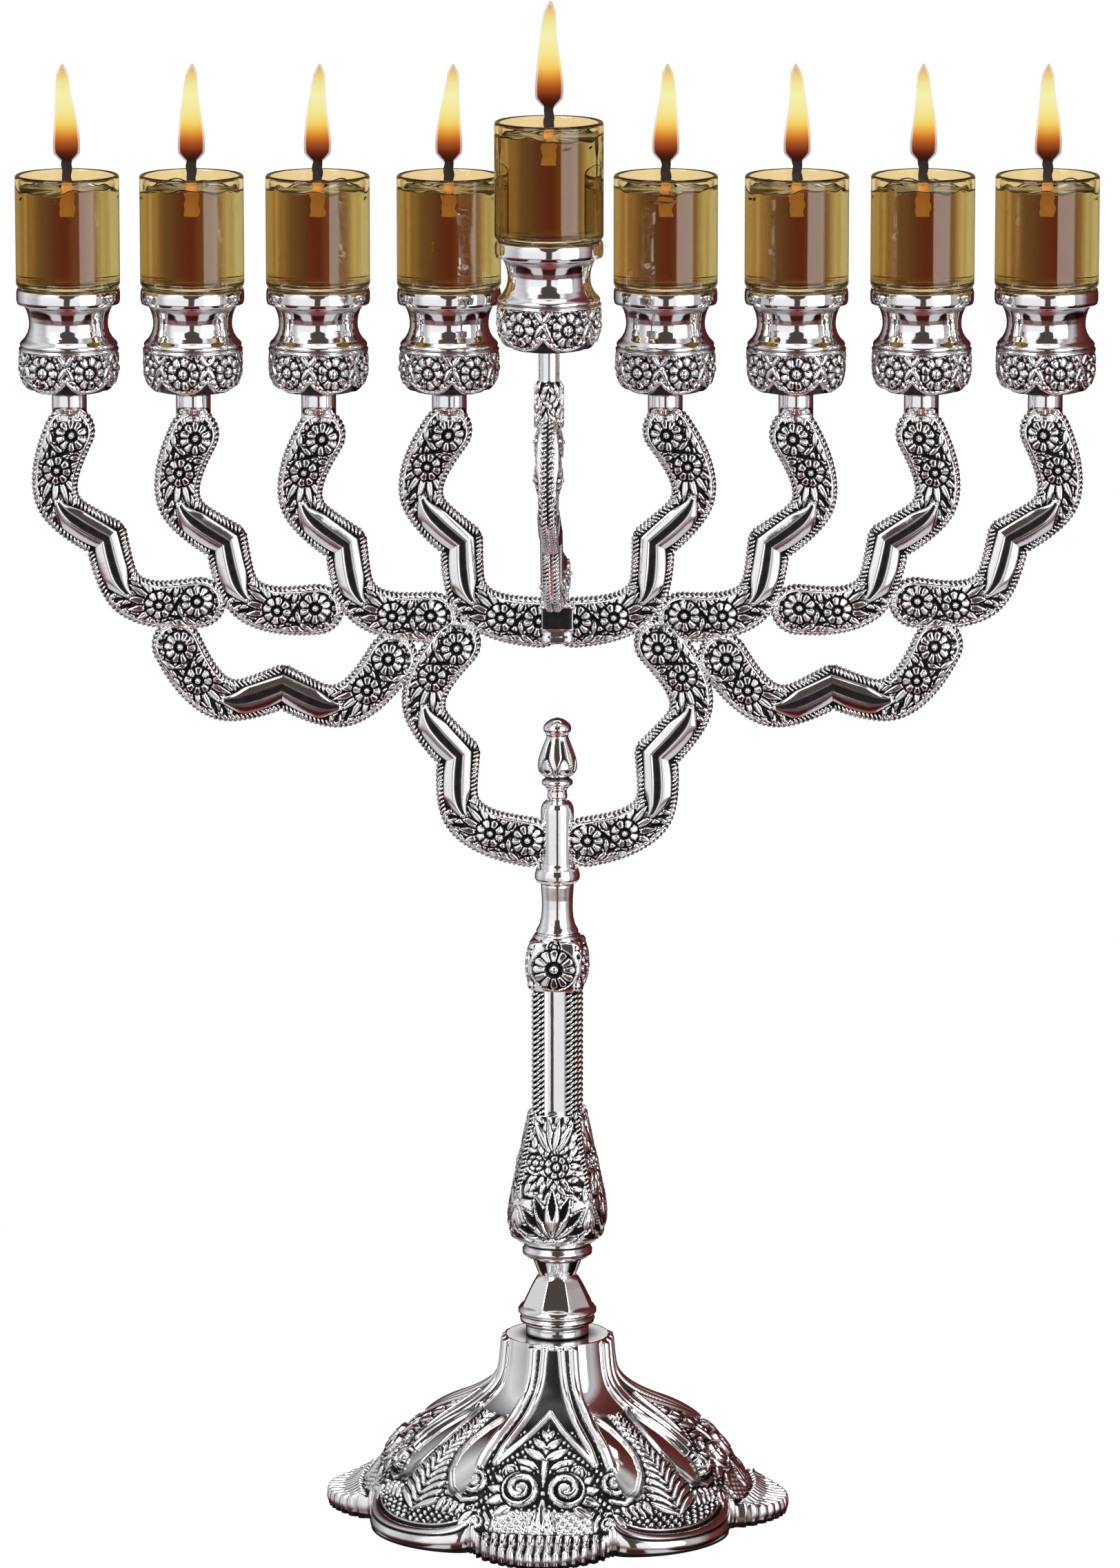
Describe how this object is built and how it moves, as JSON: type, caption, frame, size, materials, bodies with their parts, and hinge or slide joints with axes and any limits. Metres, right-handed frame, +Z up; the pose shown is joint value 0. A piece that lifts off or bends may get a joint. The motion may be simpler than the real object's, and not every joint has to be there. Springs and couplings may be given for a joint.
{
  "type": "menorah",
  "caption": "Branched silver oil menorah with a raised front shamash cup, glass oil cups with lit wicks, a baluster stem and a scrolled foot.",
  "frame": {"origin": "on the floor under the stem axis, the centre of the box", "axes": "+Z up along the stem, +X along the row of branches, -Y towards the raised shamash cup and the viewer"},
  "size_m": [0.2912, 0.1246, 0.4211],
  "materials": {
    "silver": "polished silver plate with blackened recesses in the relief",
    "steel": "zinc-plated rod, nut and washer",
    "glass": "clear pressed glass",
    "oil": "clear amber jelled oil",
    "wick": "waxed cotton wick, charred at the top, with its flame"
  },
  "bodies": {
    "stand": {"base_foot": "silver", "stem_socket": "silver", "stem_bulb": "silver", "stem_shaft": "silver", "stem_flower_collar": "silver", "stem_neck": "silver", "arm_hub": "silver", "finial": "silver", "lower_arm_left": "silver", "lower_arm_right": "silver", "cradle_left": "silver", "cradle_right": "silver", "branch_1": "silver", "branch_2": "silver", "branch_3": "silver", "branch_4": "silver", "branch_5": "silver", "branch_6": "silver", "branch_7": "silver", "branch_8": "silver", "shamash_branch": "silver", "centre_clip": "silver", "cup_1": "silver", "cup_2": "silver", "cup_3": "silver", "cup_4": "silver", "cup_5": "silver", "cup_6": "silver", "cup_7": "silver", "cup_8": "silver", "cup_shamash": "silver", "tie_rod": "steel", "base_nut": "steel"},
    "light_1": {"glass_1": "glass", "oil_1": "oil", "wick_1": "wick"},
    "light_2": {"glass_2": "glass", "oil_2": "oil", "wick_2": "wick"},
    "light_3": {"glass_3": "glass", "oil_3": "oil", "wick_3": "wick"},
    "light_4": {"glass_4": "glass", "oil_4": "oil", "wick_4": "wick"},
    "light_5": {"glass_5": "glass", "oil_5": "oil", "wick_5": "wick"},
    "light_6": {"glass_6": "glass", "oil_6": "oil", "wick_6": "wick"},
    "light_7": {"glass_7": "glass", "oil_7": "oil", "wick_7": "wick"},
    "light_8": {"glass_8": "glass", "oil_8": "oil", "wick_8": "wick"},
    "light_shamash": {"glass_shamash": "glass", "oil_shamash": "oil", "wick_shamash": "wick"}
  },
  "joints": [
    {"name": "lift_1", "type": "slide", "parent": "stand", "child": "light_1", "axis": [0, 0, 1], "range_m": [0, 0.03]},
    {"name": "lift_2", "type": "slide", "parent": "stand", "child": "light_2", "axis": [0, 0, 1], "range_m": [0, 0.03]},
    {"name": "lift_3", "type": "slide", "parent": "stand", "child": "light_3", "axis": [0, 0, 1], "range_m": [0, 0.03]},
    {"name": "lift_4", "type": "slide", "parent": "stand", "child": "light_4", "axis": [0, 0, 1], "range_m": [0, 0.03]},
    {"name": "lift_5", "type": "slide", "parent": "stand", "child": "light_5", "axis": [0, 0, 1], "range_m": [0, 0.03]},
    {"name": "lift_6", "type": "slide", "parent": "stand", "child": "light_6", "axis": [0, 0, 1], "range_m": [0, 0.03]},
    {"name": "lift_7", "type": "slide", "parent": "stand", "child": "light_7", "axis": [0, 0, 1], "range_m": [0, 0.03]},
    {"name": "lift_8", "type": "slide", "parent": "stand", "child": "light_8", "axis": [0, 0, 1], "range_m": [0, 0.03]},
    {"name": "lift_shamash", "type": "slide", "parent": "stand", "child": "light_shamash", "axis": [0, 0, 1], "range_m": [0, 0.03]}
  ]
}
